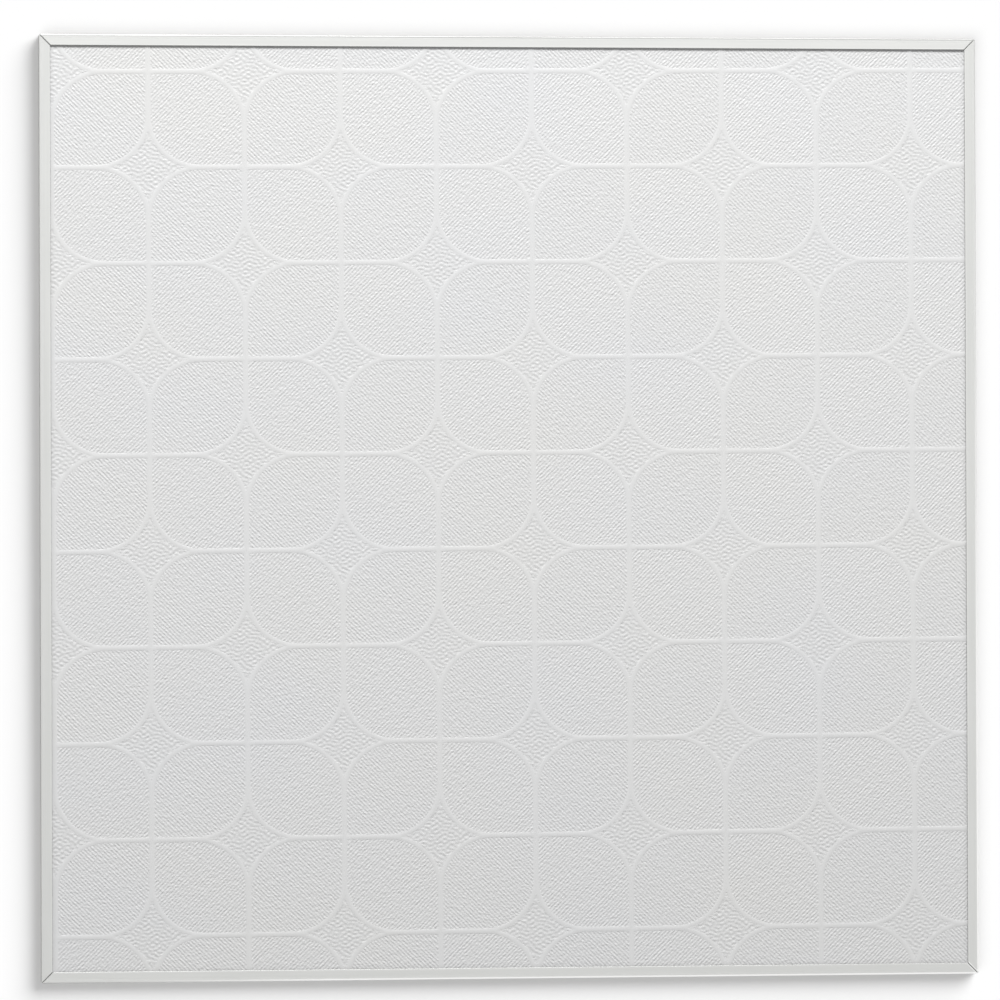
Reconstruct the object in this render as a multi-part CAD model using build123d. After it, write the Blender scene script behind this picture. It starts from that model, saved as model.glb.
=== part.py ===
from build123d import *
import os

# A lay-in ceiling tile: an embossed vinyl-faced gypsum panel, gripped round its edge by four
# mitred lengths of aluminium U-channel. It lies on its back, face up, with the origin under
# its middle. Millimetres.

# The gypsum panel, cut for a 600 mm ceiling module
panel_width = 595.0
panel_length = 595.0
panel_thickness = 8.0

# The edge channel
channel_wall = 1.2
lip_width = 7.0
edge_clearance = 0.3
mitre_gap = 0.4
outer_radius = 0.6
lip_edge_radius = 0.3

# Sizes that follow from the ones above
channel_height = panel_thickness + 2 * channel_wall
tile_width = panel_width + 2 * (edge_clearance + channel_wall)
tile_length = panel_length + 2 * (edge_clearance + channel_wall)


def gypsum_panel():
    """The board, resting on the back lips and reaching up to the underside of the front lips."""
    board = Box(panel_width, panel_length, panel_thickness, align=(Align.CENTER, Align.CENTER, Align.MIN))
    return Pos(0, 0, channel_wall) * board


def channel_section():
    """The U-section, with its outer face on the Z axis and its mouth towards +Y."""
    corner = (Align.MIN, Align.MIN)
    outside = Rectangle(lip_width, channel_height, align=corner)
    mouth = Pos(channel_wall, channel_wall) * Rectangle(lip_width, panel_thickness, align=corner)
    section = outside - mouth
    outer_corners = section.vertices().group_by(Axis.X)[0]
    section = fillet(outer_corners, outer_radius)
    lip_corners = section.vertices().group_by(Axis.X)[-1].sort_by(Axis.Y)
    section = fillet([lip_corners[0], lip_corners[-1]], lip_edge_radius)
    return Plane.YZ * section


def edge_channel(length):
    """One length of channel along X, its outer face on Y = 0, mitred at both ends."""
    bar = extrude(channel_section(), length / 2, both=True)
    half_outer = length / 2 - mitre_gap / 2 * 2**0.5
    half_inner = half_outer - lip_width
    plan = Polygon(
        (-half_outer, 0),
        (half_outer, 0),
        (half_inner, lip_width),
        (-half_inner, lip_width),
        align=None,
    )
    return bar & extrude(plan, channel_height)


def edge_channels():
    """The four lengths round the panel, named as seen with the face up."""
    sides = {
        "near": (tile_width, tile_length, 0),
        "right": (tile_length, tile_width, 90),
        "far": (tile_width, tile_length, 180),
        "left": (tile_length, tile_width, 270),
    }
    for side, (length, span, turn) in sides.items():
        yield f"edge_channel_{side}", Rot(0, 0, turn) * Pos(0, -span / 2, 0) * edge_channel(length)


def tile():
    """Every piece of the tile by its name."""
    return {"gypsum_panel": gypsum_panel(), **dict(edge_channels())}


os.makedirs("parts", exist_ok=True)
for name, piece in tile().items():
    export_step(piece, f"parts/{name}.step")
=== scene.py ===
import math
import random

import bmesh
import bpy
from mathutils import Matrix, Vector
from mathutils.geometry import delaunay_2d_cdt


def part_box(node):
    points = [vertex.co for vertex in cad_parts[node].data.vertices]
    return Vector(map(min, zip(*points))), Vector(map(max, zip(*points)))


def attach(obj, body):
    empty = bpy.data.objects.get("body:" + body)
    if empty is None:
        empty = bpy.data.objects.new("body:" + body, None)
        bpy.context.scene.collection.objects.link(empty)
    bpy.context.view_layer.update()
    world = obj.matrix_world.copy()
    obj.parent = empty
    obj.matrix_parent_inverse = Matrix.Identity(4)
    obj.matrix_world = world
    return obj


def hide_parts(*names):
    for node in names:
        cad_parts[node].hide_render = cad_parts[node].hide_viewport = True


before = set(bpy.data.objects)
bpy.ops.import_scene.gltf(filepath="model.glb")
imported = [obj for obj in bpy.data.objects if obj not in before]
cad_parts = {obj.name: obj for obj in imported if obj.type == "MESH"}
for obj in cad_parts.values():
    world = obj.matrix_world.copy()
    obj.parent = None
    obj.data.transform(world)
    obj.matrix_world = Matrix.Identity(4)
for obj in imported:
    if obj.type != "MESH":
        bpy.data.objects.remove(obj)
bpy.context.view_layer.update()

# Gypsum panel
# A square gypsum board with a white vinyl film laminated to its face. The film is embossed by a
# roller: smooth bands cross in a square lattice, every second crossing opens into a four-pointed
# star of rippled film, and the cells between are combed with fine ridges from star to star. It
# lies a little askew on the board, as such film does.
mm = 0.001
panel_low, panel_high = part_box("gypsum_panel")
lip_inner = -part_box("edge_channel_near")[1].y
lattice_pitch = 60.78 * mm
lattice_across, lattice_along = 11, 11
first_line = Vector((-350.8 * mm, -330.05 * mm, 0.0))
lean_across = Vector((0.0024, 0.0062, 0.0))
lean_along = Vector((-0.0025, -0.0024, 0.0))
band_half = 1.7 * mm
star_reach = 32.7 * mm
arc_band = 3.2 * mm
shoulder = 0.25 * mm
star_shoulder = 0.75 * mm
band_rise = 0.052 * mm
arc_rise = 0.025 * mm
ridge_pitch = 1.91 * mm
ridge_height = 0.147 * mm
ridge_uneven = 0.03 * mm
ridge_steps = 2
arc_steps = 14
line_steps = 8
star_depth = 0.085 * mm
star_row = 0.5 * mm
star_column = 1.2 * mm
ripple_pitch = 2.5 * mm
ripple_spread = 0.18
ripple_count = 16
ripple_seed = 5
ripple_height = 0.46 * mm
ripple_wander = 0.5 * mm
wander_size = 4.0 * mm
# Painted shade along the lips: a wide band, and a thin darker line at the seam under them
lip_shade_reach = 3.2 * mm
seam_shade_start, seam_shade_full = 0.9 * mm, 0.2 * mm
bead_across, bead_along = 1.4 * mm, 1.8 * mm
bead_height = 0.21 * mm

cell_half = lattice_pitch / 2 - band_half
cell_radius = star_reach - band_half
radius_shift = star_reach - lattice_pitch / 2
star_top_radius = cell_radius + arc_band - star_shoulder
star_foot_radius = cell_radius + arc_band
root2 = math.sqrt(2)


def ridge_end(across):
    """How far a ridge that lies this far from the cell's diagonal runs before it meets a band."""
    if abs(across) <= cell_radius / root2:
        return math.sqrt(cell_radius**2 - across**2) - root2 * radius_shift
    return root2 * cell_half - abs(across)


def outward(along, across):
    """The direction, in diagonal axes, in which the cell's outline faces at one of its points."""
    if abs(across) <= cell_radius / root2:
        centre = math.copysign(root2 * radius_shift, -along)
        return Vector((along - centre, across)).normalized()
    if abs(along) < 0.01 * mm:
        return Vector((0.0, math.copysign(root2, across)))
    return Vector((math.copysign(1.0, along), math.copysign(1.0, across))) / root2


def crown(across):
    """How high a band stands: most where it runs straight, least half-way round a star."""
    straight = min(1.0, abs(across) * root2 / cell_radius)
    return arc_rise + (band_rise - arc_rise) * straight**2


def turned(along, across, height):
    """A point in diagonal axes, along and across the ridges, as a point of the cell."""
    return Vector(((along - across) / root2, (along + across) / root2, height))


def zip_faces(mesh, inner, outer):
    """Fills the strip between two closed rings, both in order round the cell's middle, with triangles."""
    def bearing(vertex):
        return math.atan2(vertex.co.y, vertex.co.x) % math.tau

    rings = []
    for ring in (inner, outer):
        start = min(range(len(ring)), key=lambda i: bearing(ring[i]))
        ring = ring[start:] + ring[:start]
        rings.append((ring, [bearing(v) for v in ring] + [bearing(ring[0]) + math.tau]))
    (near, near_turn), (far, far_turn) = rings
    i = k = 0
    while i < len(near) or k < len(far):
        a, b = near[i % len(near)], far[k % len(far)]
        if k == len(far) or (i < len(near) and near_turn[i + 1] <= far_turn[k + 1]):
            i += 1
            mesh.faces.new((a, b, near[i % len(near)])).smooth = True
        else:
            k += 1
            mesh.faces.new((a, b, far[k % len(far)])).smooth = True


def arc_points(radius, steps):
    """The star's edge between two of its points, round the corner of the cell at its upper right."""
    lean = math.acos(star_reach / radius)
    first, last = math.pi + lean, 1.5 * math.pi - lean
    return [
        Vector((star_reach + radius * math.cos(a), star_reach + radius * math.sin(a)))
        for a in (first + (last - first) * i / steps for i in range(steps + 1))
    ]


def quarter_turns(points):
    """The same run of points at each of the four corners, as one closed ring without its doubles."""
    ring = []
    for x_axis, y_axis in ((1, 0), (0, 1), (-1, 0), (0, -1)):
        ring += [Vector((p.x * x_axis - p.y * y_axis, p.x * y_axis + p.y * x_axis)) for p in points[:0:-1]]
    return ring


def hatched_cell():
    """One cell of the lattice from line to line, with its stars at the lower left and upper right."""
    mesh = bmesh.new()
    combed = mesh.verts.layers.float.new("combed")
    pressed = mesh.verts.layers.float.new("pressed")
    chart = mesh.loops.layers.uv.new("ridge_chart")
    count = 2 * int(root2 * cell_half / ridge_pitch)
    crest, groove = 0.0, -ridge_height
    lines = []
    for j in range(-count, count + 1):
        height = crest if j % 2 == 0 else groove
        if abs(j) == count:
            lines.append([mesh.verts.new(turned(0.0, math.copysign(root2 * cell_half, j), height))])
            continue
        across = j * ridge_pitch / 2
        end = ridge_end(across)
        line = []
        for k in range(ridge_steps + 1):
            vertex = mesh.verts.new(turned(end * (2 * k / ridge_steps - 1), across, height))
            vertex[combed] = 0.0 if k in (0, ridge_steps) else 1.0
            line.append(vertex)
        lines.append(line)
    for low, high in zip(lines, lines[1:]):
        for k in range(ridge_steps):
            corners = [low[min(k, len(low) - 1)], low[min(k + 1, len(low) - 1)]]
            corners += [high[min(k + 1, len(high) - 1)], high[min(k, len(high) - 1)]]
            mesh.faces.new(list(dict.fromkeys(corners)))
    for vertex in mesh.verts:
        vertex[pressed] = 1.0
    foot = [line[-1] for line in lines] + [line[0] for line in lines[-2:0:-1]]
    tops = []
    for vertex in foot[::2]:
        along, across = (vertex.co.x + vertex.co.y) / root2, (vertex.co.y - vertex.co.x) / root2
        away = outward(along, across) * shoulder
        tops.append(mesh.verts.new(turned(along + away.x, across + away.y, crown(across))))
    for i, top in enumerate(tops):
        before, between, after = foot[2 * i], foot[2 * i + 1], foot[(2 * i + 2) % len(foot)]
        following = tops[(i + 1) % len(tops)]
        for corners in ((before, top, between), (between, top, following), (between, following, after)):
            mesh.faces.new(corners).smooth = True
    half = lattice_pitch / 2
    corner = Vector((half, -half))
    arc = [Vector((p.x - half, p.y - half)) for p in arc_points(star_top_radius, arc_steps)]
    edge = arc + [arc[-1].lerp(corner, i / line_steps) for i in range(1, line_steps)]
    edge += [corner.lerp(-arc[0], i / line_steps) for i in range(line_steps)]
    edge += [-p for p in edge]
    zip_faces(mesh, tops, [mesh.verts.new((p.x, p.y, crown((p.y - p.x) / root2))) for p in edge])
    for loop in (loop for face in mesh.faces for loop in face.loops):
        spot = loop.vert.co
        loop[chart].uv = ((spot.y - spot.x) / root2, (spot.x + spot.y) / root2)
    return mesh


def ripple_waves():
    """Waves of about one length that run every way, the strongest towards the far edge."""
    chance = random.Random(ripple_seed)
    waves = []
    for i in range(ripple_count):
        turn = math.pi * i / ripple_count
        way = Vector((math.cos(turn), math.sin(turn)))
        length = ripple_pitch * chance.uniform(1 - ripple_spread, 1 + ripple_spread)
        waves.append((way * math.tau / length, chance.uniform(0, math.tau), way.y))
    return waves


ripples = ripple_waves()
ripple_strength = math.sqrt(sum(strength**2 for *_, strength in ripples) / 2)


def ripple(spot):
    """The height of the star's film at a point: winding swells, where the waves cross."""
    swell = sum(strength * math.sin(wave.dot(spot) + start) for wave, start, strength in ripples)
    return -star_depth + math.tanh(swell / ripple_strength) * ripple_height / 2


def centre_gap(spot):
    """How far a point of the star lies from the centre of the nearest of the four arcs round it."""
    return Vector((star_reach - abs(spot.x), star_reach - abs(spot.y))).length


def star_field():
    """One star, from the crown of the bands round it down to its rippled film."""
    mesh = bmesh.new()
    pressed = mesh.verts.layers.float.new("pressed")
    rippled = mesh.verts.layers.float.new("rippled")
    chart = mesh.loops.layers.uv.new("ridge_chart")
    top = [mesh.verts.new((p.x, p.y, crown((abs(p.y) - abs(p.x)) / root2)))
           for p in quarter_turns(arc_points(star_top_radius, arc_steps))]
    rim = quarter_turns(arc_points(star_foot_radius, arc_steps))
    reach = max(p.x for p in rim)
    rows, columns = int(reach / star_row), int(reach / star_column)
    inside = []
    for r in range(-rows, rows + 1):
        for c in range(-columns, columns + 1):
            spot = Vector(((c + 0.5 * (r % 2)) * star_column, r * star_row))
            if centre_gap(spot) > star_foot_radius + 0.5 * star_row and spot.length < reach:
                inside.append(spot)
    points, _, faces, *_ = delaunay_2d_cdt(rim + inside, [], [list(range(len(rim)))], 1, 1e-7)
    verts = []
    for i, p in enumerate(points):
        verts.append(mesh.verts.new((p.x, p.y, -star_depth if i < len(rim) else ripple(p))))
        verts[-1][pressed] = 1.0
        verts[-1][rippled] = min(1.0, (centre_gap(p) - star_foot_radius) / (2 * star_shoulder))
    for face in faces:
        mesh.faces.new([verts[i] for i in face]).smooth = True
    for i, vertex in enumerate(top):
        following = (i + 1) % len(top)
        mesh.faces.new((vertex, top[following], verts[following], verts[i])).smooth = True
    for loop in (loop for face in mesh.faces for loop in face.loops):
        loop[chart].uv = (loop.vert.co.y, loop.vert.co.x)
    return mesh


def as_object(name, mesh):
    """Turns an edited mesh into an object of that name, with its faces pointing outwards."""
    bmesh.ops.recalc_face_normals(mesh, faces=mesh.faces)
    data = bpy.data.meshes.new(name)
    mesh.to_mesh(data)
    mesh.free()
    piece = bpy.data.objects.new(name, data)
    bpy.context.scene.collection.objects.link(piece)
    return piece


def place(tree, kind, settings=None, inputs=None):
    """Adds a node to a tree, with its settings, and sets or links its inputs."""
    node = tree.nodes.new(kind)
    for key, value in (settings or {}).items():
        setattr(node, key, value)
    for key, value in (inputs or {}).items():
        if isinstance(value, bpy.types.NodeSocket):
            tree.links.new(value, node.inputs[key])
        else:
            node.inputs[key].default_value = value
    return node


def sum_of(tree, operation, *values):
    """The result of one step of arithmetic on values or sockets."""
    return place(tree, "ShaderNodeMath", {"operation": operation}, dict(enumerate(values))).outputs[0]


def vector_of(tree, operation, *values):
    """The result of one step of vector arithmetic on values or sockets."""
    return place(tree, "ShaderNodeVectorMath", {"operation": operation}, dict(enumerate(values))).outputs[0]


def emboss_tree():
    """Lays the cells, every second one turned, and the stars out on the lattice and roughens them."""
    tree = bpy.data.node_groups.new("emboss_repeat", "GeometryNodeTree")
    for name, kind in (
        ("Hatched Cell", "NodeSocketGeometry"), ("Star Field", "NodeSocketObject"),
        ("Pitch", "NodeSocketFloat"), ("First Line", "NodeSocketVector"),
        ("Cells Across", "NodeSocketInt"), ("Cells Along", "NodeSocketInt"),
        ("Lean Across", "NodeSocketVector"), ("Lean Along", "NodeSocketVector"),
        ("Ridge Unevenness", "NodeSocketFloat"), ("Seed", "NodeSocketInt"),
        ("Ripple Wander", "NodeSocketFloat"), ("Wander Size", "NodeSocketFloat"),
        ("Film", "NodeSocketMaterial"),
    ):
        tree.interface.new_socket(name, in_out="INPUT", socket_type=kind)
    tree.interface.new_socket("Embossed Film", in_out="OUTPUT", socket_type="NodeSocketGeometry")
    given = place(tree, "NodeGroupInput").outputs
    pitch = given["Pitch"]

    def lattice(extra, shift):
        """Points one pitch apart: the cells' middles, or with one more each way the crossings."""
        counts = [sum_of(tree, "ADD", given[name], extra) for name in ("Cells Across", "Cells Along")]
        spans = [sum_of(tree, "MULTIPLY", sum_of(tree, "SUBTRACT", c, 1.0), pitch) for c in counts]
        grid = place(tree, "GeometryNodeMeshGrid", {}, {
            "Size X": spans[0], "Size Y": spans[1], "Vertices X": counts[0], "Vertices Y": counts[1],
        })
        middle = place(tree, "ShaderNodeCombineXYZ", {}, {
            axis: sum_of(tree, "MULTIPLY_ADD", span, 0.5, sum_of(tree, "MULTIPLY", pitch, shift))
            for axis, span in zip("XY", spans)
        })
        return place(tree, "GeometryNodeTransform", {}, {
            "Geometry": grid.outputs["Mesh"],
            "Translation": vector_of(tree, "ADD", middle.outputs[0], given["First Line"]),
        }).outputs[0]

    spot = place(tree, "GeometryNodeInputPosition").outputs[0]
    steps = place(tree, "ShaderNodeVectorMath", {"operation": "DIVIDE"}, {
        0: vector_of(tree, "SUBTRACT", spot, given["First Line"]),
        1: place(tree, "ShaderNodeCombineXYZ", {}, {"X": pitch, "Y": pitch, "Z": 1.0}).outputs[0],
    })
    step = place(tree, "ShaderNodeSeparateXYZ", {}, {0: steps.outputs[0]}).outputs
    place_sum = sum_of(tree, "ADD", *(
        sum_of(tree, "FLOOR", sum_of(tree, "ADD", step[axis], 0.25)) for axis in "XY"
    ))
    odd = sum_of(tree, "FLOORED_MODULO", place_sum, 2.0)
    quarter = sum_of(tree, "MULTIPLY", sum_of(tree, "SUBTRACT", 1.0, odd), math.pi / 2)
    cells = place(tree, "GeometryNodeInstanceOnPoints", {}, {
        "Points": lattice(0.0, 0.5), "Instance": given["Hatched Cell"],
        "Rotation": place(tree, "ShaderNodeCombineXYZ", {}, {"Z": quarter}).outputs[0],
    })
    star_shape = place(tree, "GeometryNodeObjectInfo", {}, {"Object": given["Star Field"]})
    stars = place(tree, "GeometryNodeInstanceOnPoints", {}, {
        "Points": lattice(1.0, 0.0), "Instance": star_shape.outputs["Geometry"], "Selection": odd,
    })
    both = place(tree, "GeometryNodeJoinGeometry")
    for part in (cells, stars):
        tree.links.new(part.outputs["Instances"], both.inputs[0])
    realized = place(tree, "GeometryNodeRealizeInstances", {}, {0: both.outputs[0]})
    sheet = place(tree, "GeometryNodeMergeByDistance", {}, {0: realized.outputs[0], "Distance": 0.002 * mm})

    combed = place(tree, "GeometryNodeInputNamedAttribute", {"data_type": "FLOAT"}, {"Name": "combed"})
    chance = place(tree, "FunctionNodeRandomValue", {"data_type": "FLOAT"}, {
        2: -1.0, 3: 1.0, "Seed": given["Seed"],
    })
    uneven = sum_of(tree, "MULTIPLY", chance.outputs[1], given["Ridge Unevenness"])
    lift = sum_of(tree, "MULTIPLY", uneven, combed.outputs["Attribute"])
    rippled = place(tree, "GeometryNodeInputNamedAttribute", {"data_type": "FLOAT"}, {"Name": "rippled"})
    wave = place(tree, "ShaderNodeTexNoise", {}, {
        "Vector": spot, "Scale": sum_of(tree, "DIVIDE", 1.0, given["Wander Size"]), "Detail": 0.0,
    })
    either_way = sum_of(tree, "MULTIPLY_ADD", wave.outputs[0], 2.0, -1.0)
    stray = sum_of(tree, "MULTIPLY", either_way, given["Ripple Wander"])
    shift = sum_of(tree, "MULTIPLY", stray, rippled.outputs["Attribute"])
    moved = place(tree, "ShaderNodeCombineXYZ", {}, {"Y": shift, "Z": lift}).outputs[0]
    axes = place(tree, "ShaderNodeSeparateXYZ", {}, {0: spot}).outputs
    for axis, name in (("X", "Lean Across"), ("Y", "Lean Along")):
        lean = place(tree, "ShaderNodeVectorMath", {"operation": "SCALE"}, {
            0: given[name], "Scale": axes[axis],
        })
        moved = vector_of(tree, "ADD", moved, lean.outputs[0])
    shaped = place(tree, "GeometryNodeSetPosition", {}, {"Geometry": sheet.outputs[0], "Offset": moved})
    coated = place(tree, "GeometryNodeSetMaterial", {}, {
        "Geometry": shaped.outputs[0], "Material": given["Film"],
    })
    place(tree, "NodeGroupOutput", {}, {0: coated.outputs[0]})
    return tree


def run_tree(piece, tree, values):
    """Runs a Geometry Nodes tree on a piece, with its named inputs, and returns the mesh that it makes."""
    modifier = piece.modifiers.new(tree.name, "NODES")
    modifier.node_group = tree
    for socket in tree.interface.items_tree:
        if socket.in_out == "INPUT" and socket.name in values:
            modifier[socket.identifier] = values[socket.name]
    bpy.context.view_layer.update()
    made = bpy.data.meshes.new_from_object(piece.evaluated_get(bpy.context.evaluated_depsgraph_get()))
    piece.modifiers.remove(modifier)
    return made


def close_board(film_face):
    """Trims the embossed film to the board and closes it with the board's sides and back."""
    mesh = bmesh.new()
    mesh.from_mesh(film_face)
    for face in mesh.faces:
        face.material_index = 0
    crest = max(vertex.co.z for vertex in mesh.verts)
    bmesh.ops.translate(mesh, verts=mesh.verts, vec=(0.0, 0.0, panel_high.z - crest))
    for axis in (0, 1):
        for corner, side in ((panel_low, -1), (panel_high, 1)):
            normal = Vector((0.0, 0.0, 0.0))
            normal[axis] = side
            bmesh.ops.bisect_plane(
                mesh, geom=mesh.verts[:] + mesh.edges[:] + mesh.faces[:], dist=0.001 * mm,
                plane_co=corner, plane_no=normal, clear_outer=True,
            )
    rim = [edge for edge in mesh.edges if edge.is_boundary]
    walls = bmesh.ops.extrude_edge_only(mesh, edges=rim)["geom"]
    for vertex in (item for item in walls if isinstance(item, bmesh.types.BMVert)):
        vertex.co.z = panel_low.z
    back = bmesh.ops.holes_fill(mesh, edges=[edge for edge in mesh.edges if edge.is_boundary])["faces"]
    for face in back + [item for item in walls if isinstance(item, bmesh.types.BMFace)]:
        face.material_index = 1
        face.smooth = False
    bmesh.ops.triangulate(mesh, faces=back)
    return mesh


def material(name):
    """A new material with its tree emptied down to the shader and the output."""
    made = bpy.data.materials.new(name)
    made.use_nodes = True
    tree = made.node_tree
    tree.nodes.clear()
    shader = place(tree, "ShaderNodeBsdfPrincipled")
    place(tree, "ShaderNodeOutputMaterial", {}, {"Surface": shader.outputs[0]})
    return made, tree, shader


def grain_group():
    """Soft noise from -1 to 1 whose grains have a size of their own along each of two axes."""
    group = bpy.data.node_groups.new("grain", "ShaderNodeTree")
    for name, kind in (
        ("Vector", "NodeSocketVector"), ("Size Across", "NodeSocketFloat"),
        ("Size Along", "NodeSocketFloat"), ("Detail", "NodeSocketFloat"), ("Offset", "NodeSocketFloat"),
    ):
        group.interface.new_socket(name, in_out="INPUT", socket_type=kind)
    group.interface.new_socket("Value", in_out="OUTPUT", socket_type="NodeSocketFloat")
    given = place(group, "NodeGroupInput").outputs
    sizes = place(group, "ShaderNodeCombineXYZ", {}, {
        "X": given["Size Across"], "Y": given["Size Along"], "Z": given["Size Across"],
    })
    moved = vector_of(group, "ADD", vector_of(group, "DIVIDE", given["Vector"], sizes.outputs[0]),
                      place(group, "ShaderNodeCombineXYZ", {}, {"Z": given["Offset"]}).outputs[0])
    noise = place(group, "ShaderNodeTexNoise", {}, {
        "Vector": moved, "Scale": 1.0, "Detail": given["Detail"], "Roughness": 0.5,
    })
    value = sum_of(group, "MULTIPLY_ADD", noise.outputs[0], 2.0, -1.0)
    place(group, "NodeGroupOutput", {}, {0: value})
    return group


grain = grain_group()


def grain_of(tree, vector, across, along, detail, offset):
    """One use of the grain in a material, as the socket of its value."""
    return place(tree, "ShaderNodeGroup", {"node_tree": grain}, {
        "Vector": vector, "Size Across": across, "Size Along": along, "Detail": detail, "Offset": offset,
    }).outputs[0]


def tint_of(tree, fac, low, high):
    """A colour between two, where the value goes from -1 to 1."""
    ramp = place(tree, "ShaderNodeMapRange", {}, {
        "Value": fac, "From Min": -0.6, "From Max": 0.6, "To Min": 0.0, "To Max": 1.0,
    })
    mix = place(tree, "ShaderNodeMix", {"data_type": "RGBA"})
    tree.links.new(ramp.outputs[0], mix.inputs["Factor"])
    for socket, colour in ((mix.inputs[6], low), (mix.inputs[7], high)):
        socket.default_value = (*colour, 1.0)
    return mix.outputs[2]


def bump_of(tree, height, distance, normal=None):
    """A bump of this height in metres, over another one where it is given."""
    made = place(tree, "ShaderNodeBump", {}, {"Strength": 1.0, "Distance": distance, "Height": height})
    if normal is not None:
        tree.links.new(normal, made.inputs["Normal"])
    return made.outputs[0]


def ramp_of(tree, value, low, high):
    """A smooth rise from 0 to 1 between two values, or a fall where the first is the larger."""
    return place(tree, "ShaderNodeMapRange", {"interpolation_type": "SMOOTHSTEP"}, {
        "Value": value, "From Min": low, "From Max": high,
    }).outputs[0]


def shaded(tree, colour, amount):
    """A colour made darker or lighter by an amount."""
    return place(tree, "ShaderNodeVectorMath", {"operation": "SCALE"}, {
        0: colour, "Scale": amount,
    }).outputs[0]


def vinyl_film():
    """White satin vinyl: beaded where it is pressed, with painted shade in its pressed grooves and along
    the lips.
    """
    made, tree, shader = material("vinyl_film")
    spot = place(tree, "ShaderNodeTexCoord").outputs["Object"]
    pressed = place(tree, "ShaderNodeAttribute", {"attribute_name": "pressed"}).outputs["Fac"]
    axes = place(tree, "ShaderNodeSeparateXYZ", {}, {0: spot}).outputs
    reach = sum_of(tree, "MAXIMUM", *(sum_of(tree, "ABSOLUTE", axes[name]) for name in "XY"))
    # Painted shade: the film darkens towards the lips, and more in a thin line where it meets them
    lip_shade = ramp_of(tree, reach, lip_inner - lip_shade_reach, lip_inner)
    seam_shade = ramp_of(tree, reach, lip_inner - seam_shade_start, lip_inner - seam_shade_full)
    drift = grain_of(tree, spot, 110 * mm, 80 * mm, 2.0, 1.3)
    tint = tint_of(tree, drift, (0.812, 0.810, 0.800), (0.802, 0.806, 0.814))
    # Painted shade: the colour is a little darker wherever the film is pressed, standing in for the shade
    # in its fine grooves
    groove_shade = sum_of(tree, "MULTIPLY_ADD", ramp_of(tree, pressed, 0.8, 1.0), -0.030, 1.0)
    shade_factor = sum_of(tree, "MULTIPLY_ADD", lip_shade, -0.09, groove_shade)
    shade_factor = sum_of(tree, "MULTIPLY_ADD", seam_shade, -0.07, shade_factor)
    tree.links.new(shaded(tree, tint, shade_factor), shader.inputs["Base Color"])
    chart = place(tree, "ShaderNodeUVMap", {"uv_map": "ridge_chart"}).outputs[0]
    change = sum_of(tree, "MULTIPLY", sum_of(tree, "MULTIPLY_ADD", axes["Y"], 1.7, axes["X"]), 0.05)
    apart = place(tree, "ShaderNodeCombineXYZ", {}, {"Z": change}).outputs[0]
    beads = grain_of(tree, vector_of(tree, "ADD", chart, apart), bead_across, bead_along, 1.0, 5.2)
    tree.links.new(sum_of(tree, "MULTIPLY_ADD", beads, 0.06, 0.50), shader.inputs["Roughness"])
    rippled = place(tree, "ShaderNodeAttribute", {"attribute_name": "rippled"}).outputs["Fac"]
    coarse = sum_of(tree, "MULTIPLY_ADD", rippled, -0.6, pressed)
    beaded = bump_of(tree, sum_of(tree, "MULTIPLY", beads, coarse), bead_height)
    fine = grain_of(tree, spot, 0.35 * mm, 0.35 * mm, 2.0, 2.6)
    tree.links.new(bump_of(tree, fine, 0.004 * mm, beaded), shader.inputs["Normal"])
    return made


def board_liner():
    """The grey-white paper on the back of the board, with its fibres and a darker cloudiness."""
    made, tree, shader = material("board_liner")
    spot = place(tree, "ShaderNodeTexCoord").outputs["Object"]
    fibres = grain_of(tree, spot, 0.5 * mm, 4 * mm, 3.0, 0.7)
    clouds = grain_of(tree, spot, 25 * mm, 40 * mm, 3.0, 4.4)
    both = sum_of(tree, "MULTIPLY_ADD", fibres, 0.5, clouds)
    tree.links.new(tint_of(tree, both, (0.50, 0.48, 0.43), (0.60, 0.59, 0.55)), shader.inputs["Base Color"])
    shader.inputs["Roughness"].default_value = 0.85
    tree.links.new(bump_of(tree, fibres, 0.03 * mm), shader.inputs["Normal"])
    return made


cell = as_object("hatched_cell", hatched_cell())
star = as_object("star_field", star_field())
film = vinyl_film()
embossed = run_tree(cell, emboss_tree(), {
    "Star Field": star, "Pitch": lattice_pitch, "First Line": first_line,
    "Cells Across": lattice_across, "Cells Along": lattice_along,
    "Lean Across": lean_across, "Lean Along": lean_along,
    "Ridge Unevenness": ridge_uneven, "Seed": 4,
    "Ripple Wander": ripple_wander, "Wander Size": wander_size, "Film": film,
})
for pattern in (cell, star):
    bpy.data.objects.remove(pattern)
panel = as_object("embossed_panel", close_board(embossed))
panel.data.materials.append(film)
panel.data.materials.append(board_liner())
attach(panel, "root")
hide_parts("gypsum_panel")

# Edge channels
# Four lengths of extruded aluminium U-channel, satin anodised, with the die's fine lines along
# them. They are mitred at the corners, their cut edges are eased, and they grip the board's edge.
channel_low, channel_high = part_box("edge_channel_near")
half_outer = channel_high.x
outer_face = channel_low.y
lip_width = channel_high.y - channel_low.y
channel_height = channel_high.z
channel_wall = panel_low.z
outer_radius = 0.6 * mm
lip_edge_radius = 0.3 * mm
cut_ease = 0.35 * mm
die_lines = (1.6 * mm, 2.4 * mm)
die_line_half = 0.2 * mm
die_line_depth = 0.03 * mm
longest_round = 0.3 * mm
corner_mark_start, corner_mark_full = 0.7 * mm, 0.2 * mm
cut_mark_start, cut_mark_full = 1.1 * mm, 0.7 * mm
# How each channel's outer corner is coloured at its two ends, from painted shade below 0 to rubbed bright
# metal with a painted highlight at 0.4, and its shade
wear_and_shade_ends = {
    "near": (0.1, 1.0, 0.955), "right": (0.5, 0.1, 0.955),
    "far": (-0.5, -0.13, 1.0), "left": (0.1, 0.1, 0.94),
}


def round_corner(across, height, radius, start, stop, steps):
    """Points round part of a circle of the section, between two angles in degrees."""
    angles = [math.radians(start + (stop - start) * i / steps) for i in range(steps + 1)]
    return [Vector((across + radius * math.cos(a), height + radius * math.sin(a))) for a in angles]


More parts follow.
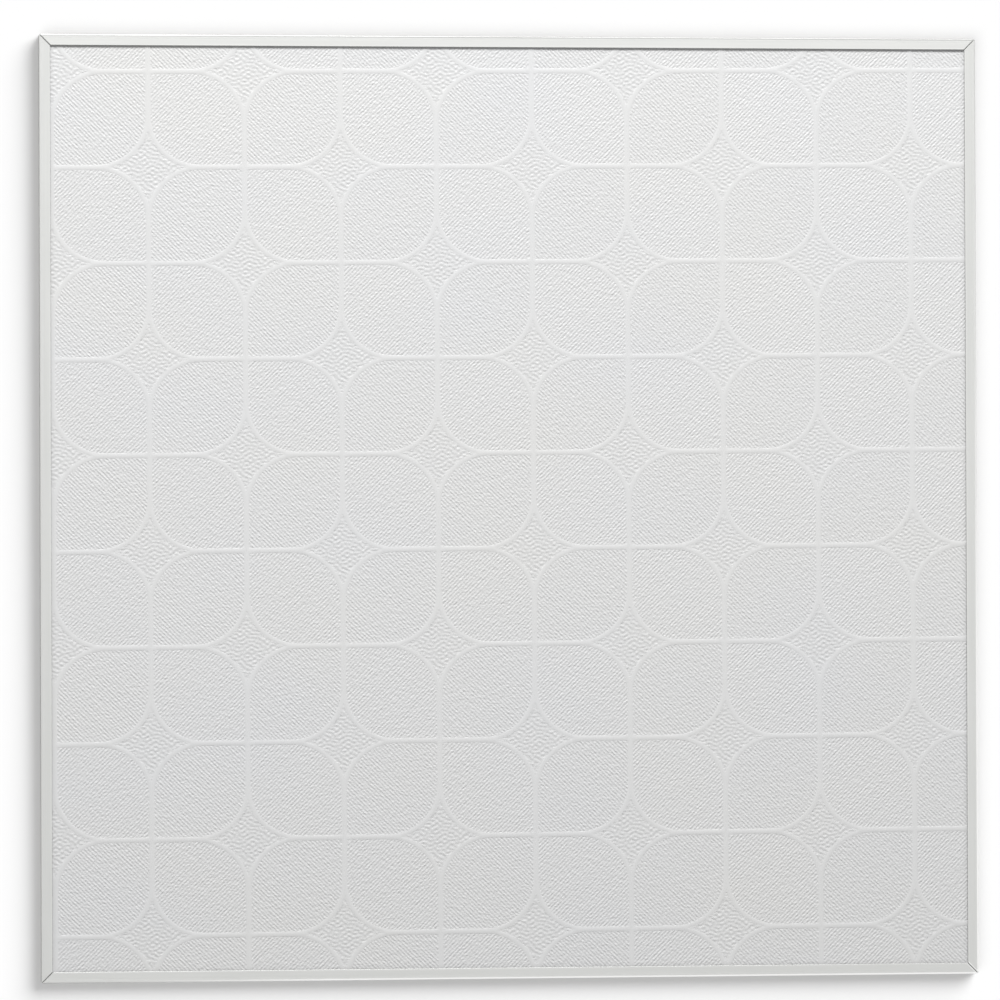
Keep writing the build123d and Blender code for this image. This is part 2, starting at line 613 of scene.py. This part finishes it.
def channel_section():
    """The U-section as a ring of points, in from its outer face and up, starting on the outer face."""
    top, under = channel_height, channel_height - channel_wall
    edge = lip_width - lip_edge_radius
    ring = round_corner(outer_radius, top - outer_radius, outer_radius, 180, 90, 5)
    for line in die_lines:
        ring += [Vector((line + side * die_line_half, top - depth))
                 for side, depth in ((-1, 0.0), (0, die_line_depth), (1, 0.0))]
    ring += round_corner(edge, top - lip_edge_radius, lip_edge_radius, 90, 0, 5)
    ring += [Vector((lip_width, under)), Vector((channel_wall, under))]
    ring += [Vector((channel_wall, channel_wall)), Vector((lip_width, channel_wall))]
    ring += round_corner(edge, lip_edge_radius, lip_edge_radius, 0, -90, 5)
    ring += round_corner(outer_radius, outer_radius, outer_radius, 270, 180, 5)
    return ring


def eased(ring, depth):
    """The same ring drawn in by a depth all round."""
    drawn = []
    for before, point, after in zip(ring[-1:] + ring[:-1], ring, ring[1:] + ring[:1]):
        normals = [Vector((run.y, -run.x)).normalized() for run in (point - before, after - point)]
        drawn.append(point + (normals[0] + normals[1]) * depth / (1 + normals[0].dot(normals[1])))
    return drawn


def edge_channel(turn, wear_and_shade_from, wear_and_shade_to, shade):
    """One length of channel, turned to its side of the tile, with the wear, painted shade and painted
    highlight on the outer corner at its two ends, and its shade.
    """
    mesh = bmesh.new()
    chart = mesh.loops.layers.uv.new("along_across")
    wear_and_shade = mesh.verts.layers.float.new("wear_and_shade")
    tone = mesh.verts.layers.float.new("tone")
    section = channel_section()
    rounds = [0.0]
    for before, after in zip(section, section[1:] + section[:1]):
        rounds.append(rounds[-1] + (after - before).length)
    cos, sin = round(math.cos(turn)), round(math.sin(turn))
    rings, lengths = [], []
    for end, points, back in (
        (-1, eased(section, cut_ease), 0.0), (-1, section, cut_ease),
        (1, section, cut_ease), (1, eased(section, cut_ease), 0.0),
    ):
        along = [end * (half_outer - p.x - back) for p in points]
        spots = [(x, outer_face + p.x, p.y) for x, p in zip(along, points)]
        rings.append([mesh.verts.new((x * cos - y * sin, x * sin + y * cos, z)) for x, y, z in spots])
        for vertex in rings[-1]:
            vertex[wear_and_shade] = wear_and_shade_from if end < 0 else wear_and_shade_to
            vertex[tone] = shade
        lengths.append(along)
    count = len(section)
    for k in range(len(rings) - 1):
        for i in range(count):
            steps = ((k, i), (k, i + 1), (k + 1, i + 1), (k + 1, i))
            face = mesh.faces.new([rings[r][c % count] for r, c in steps])
            face.smooth = k == 1 and rounds[i + 1] - rounds[i] < longest_round
            for loop, (r, c) in zip(face.loops, steps):
                loop[chart].uv = (lengths[r][c % count], rounds[c])
    caps = [mesh.faces.new(ring) for ring in (rings[0], rings[-1])]
    bmesh.ops.triangulate(mesh, faces=caps)
    for edge in mesh.edges:
        edge.smooth = all(face.smooth for face in edge.link_faces)
    return mesh


def satin_aluminium():
    """Satin anodised aluminium, lined along it, with painted shade and a thin painted highlight at the
    lip's edge, and on its outer corner painted shade in some places and rubbed bright metal with a painted
    highlight in others.
    """
    made, tree, shader = material("satin_aluminium")
    chart = place(tree, "ShaderNodeUVMap", {"uv_map": "along_across"}).outputs[0]
    along, across, _ = place(tree, "ShaderNodeSeparateXYZ", {}, {0: chart}).outputs
    wear_and_shade = place(tree, "ShaderNodeAttribute", {"attribute_name": "wear_and_shade"}).outputs["Fac"]
    lines = grain_of(tree, chart, 260 * mm, 0.45 * mm, 2.0, 3.1)
    clouds = grain_of(tree, chart, 45 * mm, 6 * mm, 2.0, 7.7)
    both = sum_of(tree, "MULTIPLY_ADD", clouds, 0.6, lines)
    tint = tint_of(tree, both, (0.702, 0.708, 0.690), (0.752, 0.756, 0.740))
    bend = outer_radius * math.pi / 2
    edge = lip_width - outer_radius - lip_edge_radius + bend
    # Painted shade on the lip's rounded inner edge, with a thin painted highlight just inside it
    lip_edge_shade = ramp_of(tree, across, edge + 0.05 * mm, edge + 0.30 * mm)
    lip_edge_highlight = sum_of(tree, "SUBTRACT", ramp_of(tree, across, edge - 0.9 * mm, edge - 0.5 * mm), lip_edge_shade)
    tone = place(tree, "ShaderNodeAttribute", {"attribute_name": "tone"}).outputs["Fac"]
    toned = shaded(tree, tint, sum_of(tree, "MULTIPLY_ADD", lip_edge_shade, -0.4, tone))
    toned = shaded(tree, toned, sum_of(tree, "MULTIPLY_ADD", lip_edge_highlight, 0.04, 1.0))
    corner = ramp_of(tree, across, bend + corner_mark_start, bend + corner_mark_full)
    # Painted shade: where the value is below 0.1 the outer corner is darker in colour
    corner_shade = sum_of(tree, "MULTIPLY", corner, ramp_of(tree, wear_and_shade, 0.1, -0.3))
    toned = shaded(tree, toned, sum_of(tree, "MULTIPLY_ADD", corner_shade, -0.34, 1.0))
    # Partly rubbed metal, partly painted highlight: above 0.1 the outer corner, and the eased mitre cuts,
    # turn metallic, smoother and lighter in colour
    rub_and_highlight = sum_of(tree, "MULTIPLY", corner, ramp_of(tree, wear_and_shade, 0.1, 0.4))
    mitre = half_outer + bend - outer_radius
    to_mitre = sum_of(tree, "ADD", sum_of(tree, "ABSOLUTE", along), across)
    cut = ramp_of(tree, to_mitre, mitre - cut_mark_start, mitre - cut_mark_full)
    cut = sum_of(tree, "MULTIPLY", cut, ramp_of(tree, across, edge + lip_edge_radius, edge))
    cut = sum_of(tree, "MULTIPLY", cut, ramp_of(tree, wear_and_shade, 0.2, 0.28))
    rub_and_highlight = sum_of(tree, "MAXIMUM", rub_and_highlight, cut)
    mixed = place(tree, "ShaderNodeMix", {"data_type": "RGBA"}, {
        "Factor": rub_and_highlight, 6: toned, 7: (0.88, 0.88, 0.87, 1.0),
    })
    tree.links.new(mixed.outputs[2], shader.inputs["Base Color"])
    tree.links.new(sum_of(tree, "MULTIPLY_ADD", rub_and_highlight, 0.65, 0.35), shader.inputs["Metallic"])
    satin = sum_of(tree, "MULTIPLY_ADD", lines, 0.08, 0.42)
    tree.links.new(sum_of(tree, "MULTIPLY_ADD", rub_and_highlight, -0.12, satin), shader.inputs["Roughness"])
    tree.links.new(bump_of(tree, lines, 0.012 * mm), shader.inputs["Normal"])
    return made


# The walls throw no light back on the floor, where it would wash out the thin shadow beside them
aluminium = satin_aluminium()
channels = []
for quarter, side in enumerate(("near", "right", "far", "left")):
    channel = as_object(f"channel_{side}", edge_channel(quarter * math.pi / 2, *wear_and_shade_ends[side]))
    channel.data.materials.append(aluminium)
    channel.visible_diffuse = False
    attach(channel, "root")
    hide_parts(f"edge_channel_{side}")
    channels.append(channel)

# Floor, lamps and camera
# A plain white floor under an even sky. A broad lamp beyond the far edge rakes across the face. Two
# soft suns light the floor alone, the stronger from the far right, so the shadow falls left and near.
camera_spot = Vector((-0.440, -0.034, 4.0))
camera_turn = (0.572, -6.18, -0.202)
lens = 227.7
floor_half = 6.0
floor_glow = 0.125
sky_light = 0.25


def seen_plainly(tree):
    """1 for what the camera, a reflection or a clear material sees directly, and 0 for light."""
    ray = place(tree, "ShaderNodeLightPath").outputs
    clear = sum_of(tree, "MAXIMUM", ray["Is Glossy Ray"], ray["Is Transmission Ray"])
    return sum_of(tree, "MAXIMUM", ray["Is Camera Ray"], clear)


def pale_floor():
    """A matte floor that looks white where nothing shades it."""
    made = bpy.data.materials.new("pale_floor")
    made.use_nodes = True
    tree = made.node_tree
    tree.nodes.clear()
    matte = place(tree, "ShaderNodeBsdfDiffuse", {}, {"Color": (0.8, 0.8, 0.8, 1.0)})
    strength = sum_of(tree, "MULTIPLY", seen_plainly(tree), floor_glow)
    glow = place(tree, "ShaderNodeEmission", {}, {"Strength": strength})
    total = place(tree, "ShaderNodeAddShader", {}, {0: matte.outputs[0], 1: glow.outputs[0]})
    place(tree, "ShaderNodeOutputMaterial", {}, {"Surface": total.outputs[0]})
    return made


floor_mesh = bmesh.new()
bmesh.ops.create_grid(floor_mesh, x_segments=1, y_segments=1, size=floor_half)
floor = as_object("floor", floor_mesh)
floor.data.materials.append(pale_floor())


def lamp(name, kind, spot, size, power, lit):
    """A lamp aimed at the middle of the tile, which lights only the objects that it is given."""
    data = bpy.data.lights.new(name, kind)
    data.energy = power
    if kind == "AREA":
        data.size = size
    else:
        data.angle = size
    made = bpy.data.objects.new(name, data)
    made.location = spot
    made.rotation_euler = (-Vector(spot)).to_track_quat("-Z", "Y").to_euler()
    bpy.context.scene.collection.objects.link(made)
    group = bpy.data.collections.new(f"lit_by_{name}")
    for piece in lit:
        group.objects.link(piece)
    made.light_linking.receiver_collection = group


lamp("key", "AREA", (-0.10, 2.93, 2.25), 1.18, 147.0, [panel, *channels])
lamp("floor_light", "SUN", (1.60, 1.72, 1.73), math.radians(46), 3.28, [floor])
lamp("floor_fill", "SUN", (-0.8, -0.8, 1.73), math.radians(45), 0.85, [floor])

world = bpy.data.worlds.new("sky")
bpy.context.scene.world = world
world.use_nodes = True
sky = world.node_tree
sky.nodes.clear()
strength = sum_of(sky, "MULTIPLY_ADD", seen_plainly(sky), 1.0 - sky_light, sky_light)
glow = place(sky, "ShaderNodeBackground", {}, {"Color": (1.0, 1.0, 1.0, 1.0), "Strength": strength})
place(sky, "ShaderNodeOutputWorld", {}, {"Surface": glow.outputs[0]})

camera_data = bpy.data.cameras.new("camera")
camera_data.sensor_width = 36.0
camera_data.lens = lens
camera = bpy.data.objects.new("camera", camera_data)
camera.location = camera_spot
camera.rotation_euler = [math.radians(turn) for turn in camera_turn]
bpy.context.scene.collection.objects.link(camera)
bpy.context.scene.camera = camera
bpy.context.scene.view_settings.view_transform = "Standard"
